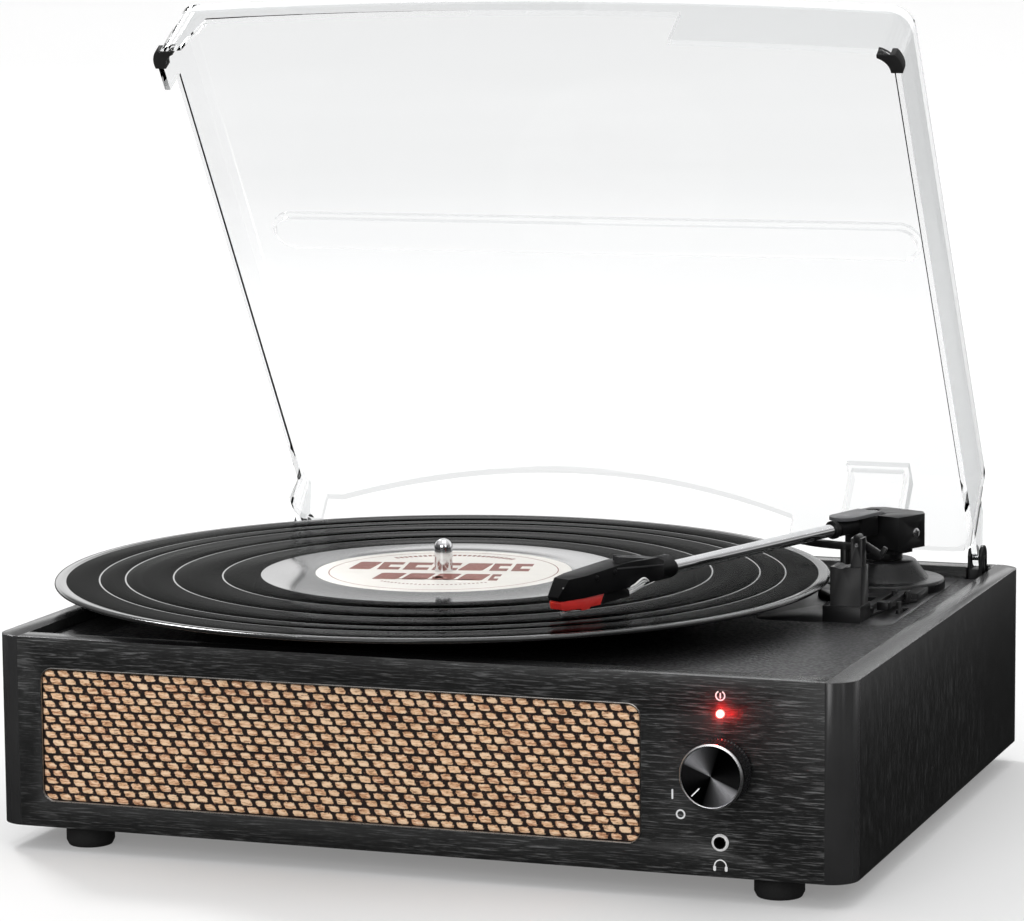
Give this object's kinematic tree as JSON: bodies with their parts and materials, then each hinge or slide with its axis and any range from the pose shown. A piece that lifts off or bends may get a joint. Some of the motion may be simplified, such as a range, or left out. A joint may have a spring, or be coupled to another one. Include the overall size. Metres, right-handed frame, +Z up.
{
  "type": "turntable record player",
  "caption": "Table record player with a black cabinet, tan speaker grille, belt driven platter with a disc, lifting tonearm, volume knob and a hinged clear dust cover.",
  "frame": {"origin": "on the table, midway between the four feet and under the middle of the cabinet", "axes": "+Z up, front with the grille and knob at -Y, tonearm side at +X"},
  "size_m": [0.3512, 0.3016, 0.3128],
  "materials": {
    "black_vinyl": "woodgrain vinyl wrap, satin, fine raised grain",
    "fibreboard": "dark stained fibreboard, matte",
    "plate_plastic": "leather grained top plate, low sheen",
    "speaker_cloth": "coarse tan and black woven speaker cloth",
    "baffle": "black baffle board, matte",
    "painted_steel": "black painted pressed steel",
    "cone_paper": "pressed black paper pulp",
    "ferrite": "ground ferrite, matte",
    "led_red": "clear red lens, lit",
    "nickel": "bright nickel plate",
    "board_green": "green solder mask",
    "board_mix": "moulded component cases",
    "zinc": "zinc plated, brushed",
    "socket_black": "moulded black, slight gloss",
    "foot_rubber": "moulded rubber, matte",
    "screw_steel": "zinc plated steel",
    "hinge_black": "moulded black, satin",
    "brass": "turned brass",
    "belt_rubber": "smooth rubber belt",
    "arm_black": "moulded black, satin",
    "cap_grey": "grey satin plastic",
    "platter_black": "black painted pressed metal",
    "mat_felt": "thin black felt",
    "chrome": "polished chrome plate",
    "vinyl_record": "pressed vinyl with fine circular grooves",
    "label_paper": "printed off-white paper",
    "knob_black": "black with a spun dark face",
    "knob_silver": "turned bright edge",
    "shell_black": "moulded black, glossy facets",
    "carrier_red": "translucent red moulding",
    "clear_acrylic": "clear polished acrylic"
  },
  "bodies": {
    "cabinet": {"cabinet_front": "black_vinyl", "cabinet_rear": "black_vinyl", "cabinet_sides": "black_vinyl", "corner_blocks": "fibreboard", "base_panel": "fibreboard", "top_plate": "plate_plastic", "grille_cloth": "speaker_cloth", "grille_frame": "baffle", "speaker_frames": "painted_steel", "speaker_cones": "cone_paper", "speaker_magnets": "ferrite", "power_led": "led_red", "headphone_jack": "nickel", "circuit_board": "board_green", "board_parts": "board_mix", "potentiometer": "zinc", "rear_panel": "socket_black", "rca_sockets": "nickel", "aux_socket": "socket_black", "dc_socket": "socket_black", "feet": "foot_rubber", "case_screws": "screw_steel", "hinge_brackets": "hinge_black", "hinge_pins": "screw_steel", "bearing_housing": "brass", "drive_motor": "zinc", "motor_screws": "screw_steel", "drive_belt": "belt_rubber", "arm_plate": "plate_plastic", "arm_base": "arm_black", "pivot_base": "arm_black", "arm_rest": "arm_black", "clip_pin": "screw_steel"},
    "platter": {"platter": "platter_black", "slip_mat": "mat_felt", "spindle": "chrome", "record": "vinyl_record", "record_label": "label_paper"},
    "pulley": {"motor_pulley": "brass"},
    "knob": {"volume_knob": "knob_black", "knob_ring": "knob_silver", "volume_shaft": "screw_steel"},
    "arm_turret": {"arm_yoke": "arm_black", "swing_shaft": "screw_steel", "lift_pins": "screw_steel"},
    "arm": {"arm_housing": "arm_black", "arm_sleeve": "arm_black", "sleeve_cap": "cap_grey", "arm_tube": "chrome", "headshell": "shell_black", "cartridge": "shell_black", "stylus_carrier": "carrier_red", "stylus": "screw_steel"},
    "cue": {"cue_lever": "arm_black"},
    "lifter": {"arm_lifter": "arm_black"},
    "clip": {"arm_clip": "arm_black"},
    "speed": {"speed_lever": "arm_black"},
    "stop": {"stop_lever": "arm_black"},
    "lid": {"dust_cover": "clear_acrylic", "lid_bumpers": "foot_rubber"}
  },
  "joints": [
    {"name": "platter_spin", "type": "hinge", "parent": "cabinet", "child": "platter", "pos_m": [-0.0364, 0, 0.0856], "axis": [0, 0, -1], "continuous": true},
    {"name": "pulley_spin", "type": "hinge", "parent": "cabinet", "child": "pulley", "pos_m": [-0.09866, -0.04359, 0.0785], "axis": [0, 0, -1], "continuous": true},
    {"name": "arm_swing", "type": "hinge", "parent": "cabinet", "child": "arm_turret", "pos_m": [0.117, 0.09, 0.0876], "axis": [0, 0, 1], "range_deg": [-17, 27.4]},
    {"name": "arm_lift", "type": "hinge", "parent": "arm_turret", "child": "arm", "pos_m": [0.11882, 0.09411, 0.0985], "axis": [-0.9143, 0.4051, 0], "range_deg": [0, 7]},
    {"name": "cue_lift", "type": "hinge", "parent": "cabinet", "child": "cue", "pos_m": [0.1339, 0.054, 0.0792], "axis": [-1, 0, 0], "range_deg": [0, 25]},
    {"name": "lifter_rise", "type": "slide", "parent": "cabinet", "child": "lifter", "axis": [0, 0, 1], "range_m": [0, 0.0052]},
    {"name": "clip_turn", "type": "hinge", "parent": "cabinet", "child": "clip", "pos_m": [0.1277, 0.0159, 0.1054], "axis": [0, 1, 0], "range_deg": [-205, 0]},
    {"name": "speed_slide", "type": "slide", "parent": "cabinet", "child": "speed", "axis": [0, 1, 0], "range_m": [0, 0.011]},
    {"name": "stop_slide", "type": "slide", "parent": "cabinet", "child": "stop", "axis": [0, 1, 0], "range_m": [0, 0.008]},
    {"name": "volume_turn", "type": "hinge", "parent": "cabinet", "child": "knob", "pos_m": [0.1166, -0.1335, 0.047], "axis": [0, 1, 0], "range_deg": [0, 280]},
    {"name": "lid_hinge", "type": "hinge", "parent": "cabinet", "child": "lid", "pos_m": [0, 0.1245, 0.0845], "axis": [-1, 0, 0], "range_deg": [-56.6, 12]}
  ],
  "couplings": [
    {"joint": "pulley_spin", "follows": "platter_spin", "ratio": 12},
    {"joint": "arm_lift", "follows": "cue_lift", "ratio": 0.279},
    {"joint": "lifter_rise", "follows": "cue_lift", "m_per_rad": 0.01162}
  ]
}
